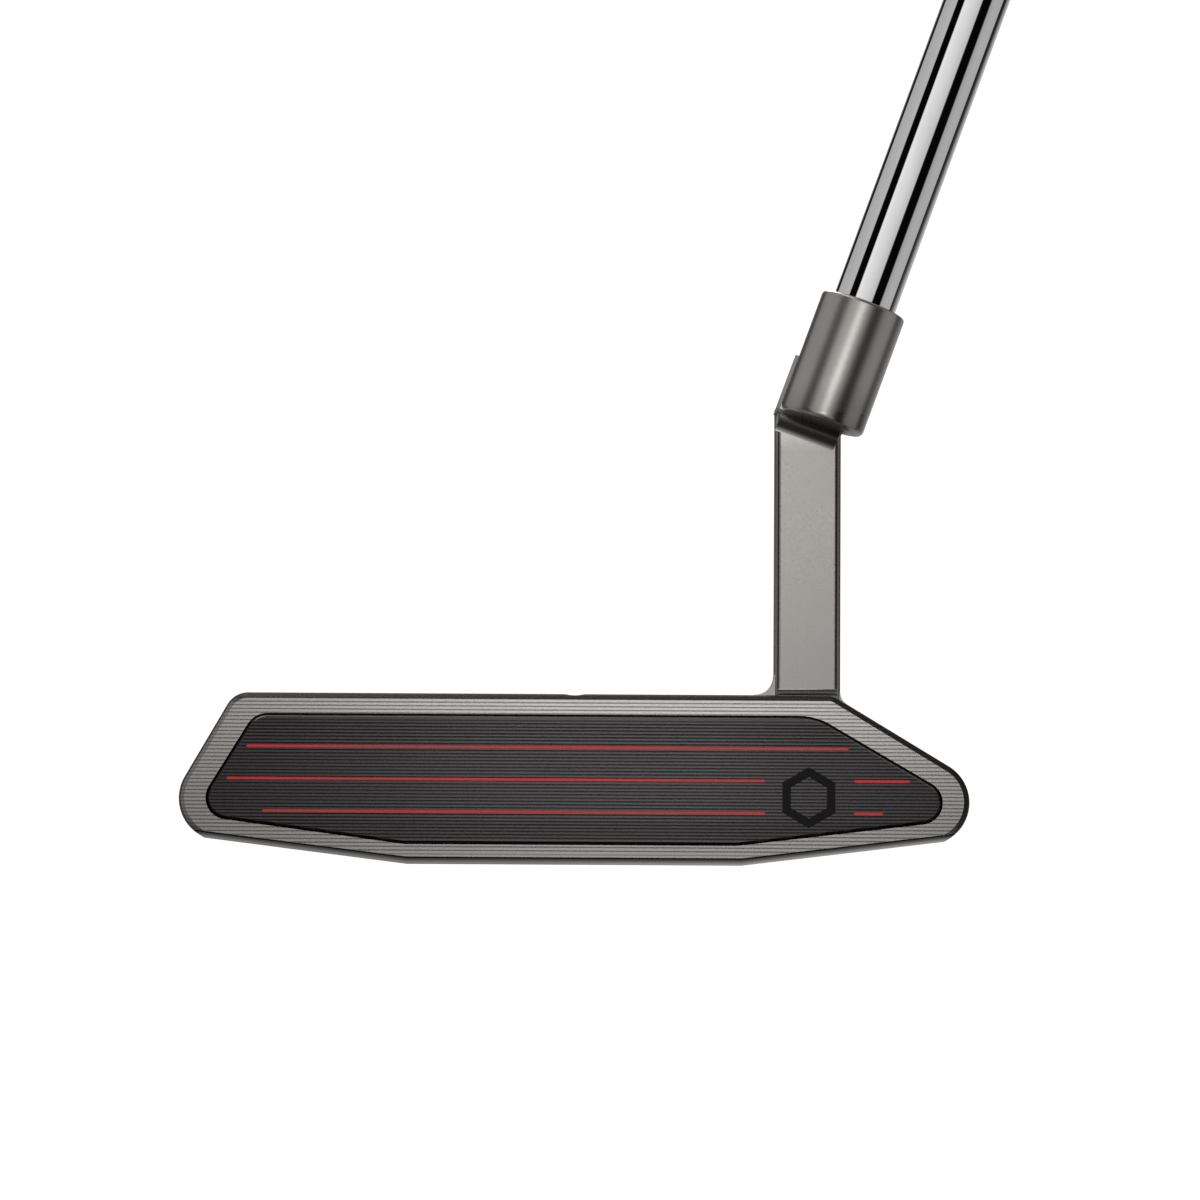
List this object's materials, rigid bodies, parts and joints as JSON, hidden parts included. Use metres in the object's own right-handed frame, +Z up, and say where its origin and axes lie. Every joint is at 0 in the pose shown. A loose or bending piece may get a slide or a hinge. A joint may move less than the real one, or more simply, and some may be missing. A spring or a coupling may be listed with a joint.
{
  "type": "golf putter",
  "caption": "Right-handed blade putter with a plumber's neck, milled face insert with coloured sight lines, screw-in sole weights, stepped steel shaft and pistol grip.",
  "frame": {"origin": "on the ground, in the middle of the flat part of the sole, with the putter soled at address", "axes": "+X from toe to heel, +Y from the face to the back, +Z up; the shaft leans 20 degrees from +Z towards +X"},
  "size_m": [0.392, 0.0457, 0.8391],
  "materials": {
    "gunmetal_steel": "satin gunmetal plating over steel, fine brushing",
    "black_aluminium": "black anodised, milled in fine horizontal lines",
    "bond_pad": "matt adhesive foam",
    "red_paint": "satin red line filling",
    "black_gloss": "gloss black enamel",
    "white_paint": "satin white line filling",
    "weight_steel": "turned stainless steel",
    "washer_rubber": "matt",
    "epoxy": "cured dark epoxy",
    "shaft_chrome": "polished chrome plate",
    "cork": "raw cork",
    "tape": "paper-backed double-sided tape",
    "grip_core": "soft foam rubber",
    "grip_rubber": "matt, finely textured",
    "cap_plastic": "moulded, satin"
  },
  "bodies": {
    "club": {"head_body": "gunmetal_steel", "face_insert": "black_aluminium", "insert_bond_pad": "bond_pad", "insert_line_paint": "red_paint", "insert_emblem": "black_gloss", "sight_line_paint": "white_paint", "shaft_epoxy": "epoxy", "shaft": "shaft_chrome", "shaft_tip_plug": "cork", "grip_tape": "tape", "grip_underlisting": "grip_core", "grip_sleeve": "grip_rubber", "grip_end_cap": "cap_plastic"},
    "toe_washer": {"toe_weight_washer": "washer_rubber"},
    "toe_weight": {"toe_weight": "weight_steel"},
    "heel_washer": {"heel_weight_washer": "washer_rubber"},
    "heel_weight": {"heel_weight": "weight_steel"}
  },
  "joints": [
    {"name": "toe_weight_travel", "type": "slide", "parent": "club", "child": "toe_washer", "axis": [-0.1219, 0, -0.9925], "range_m": [0, 0.0072]},
    {"name": "toe_weight_turn", "type": "hinge", "parent": "toe_washer", "child": "toe_weight", "pos_m": [-0.04, 0.0014, 0.00184], "axis": [-0.1219, 0, -0.9925], "range_deg": [0, 1980]},
    {"name": "heel_weight_travel", "type": "slide", "parent": "club", "child": "heel_washer", "axis": [0.1219, 0, -0.9925], "range_m": [0, 0.0072]},
    {"name": "heel_weight_turn", "type": "hinge", "parent": "heel_washer", "child": "heel_weight", "pos_m": [0.04, 0.0014, 0.00184], "axis": [0.1219, 0, -0.9925], "range_deg": [0, 1980]}
  ],
  "couplings": [
    {"joint": "toe_weight_travel", "follows": "toe_weight_turn", "m_per_rad": 0.00019894},
    {"joint": "heel_weight_travel", "follows": "heel_weight_turn", "m_per_rad": 0.00019894}
  ]
}
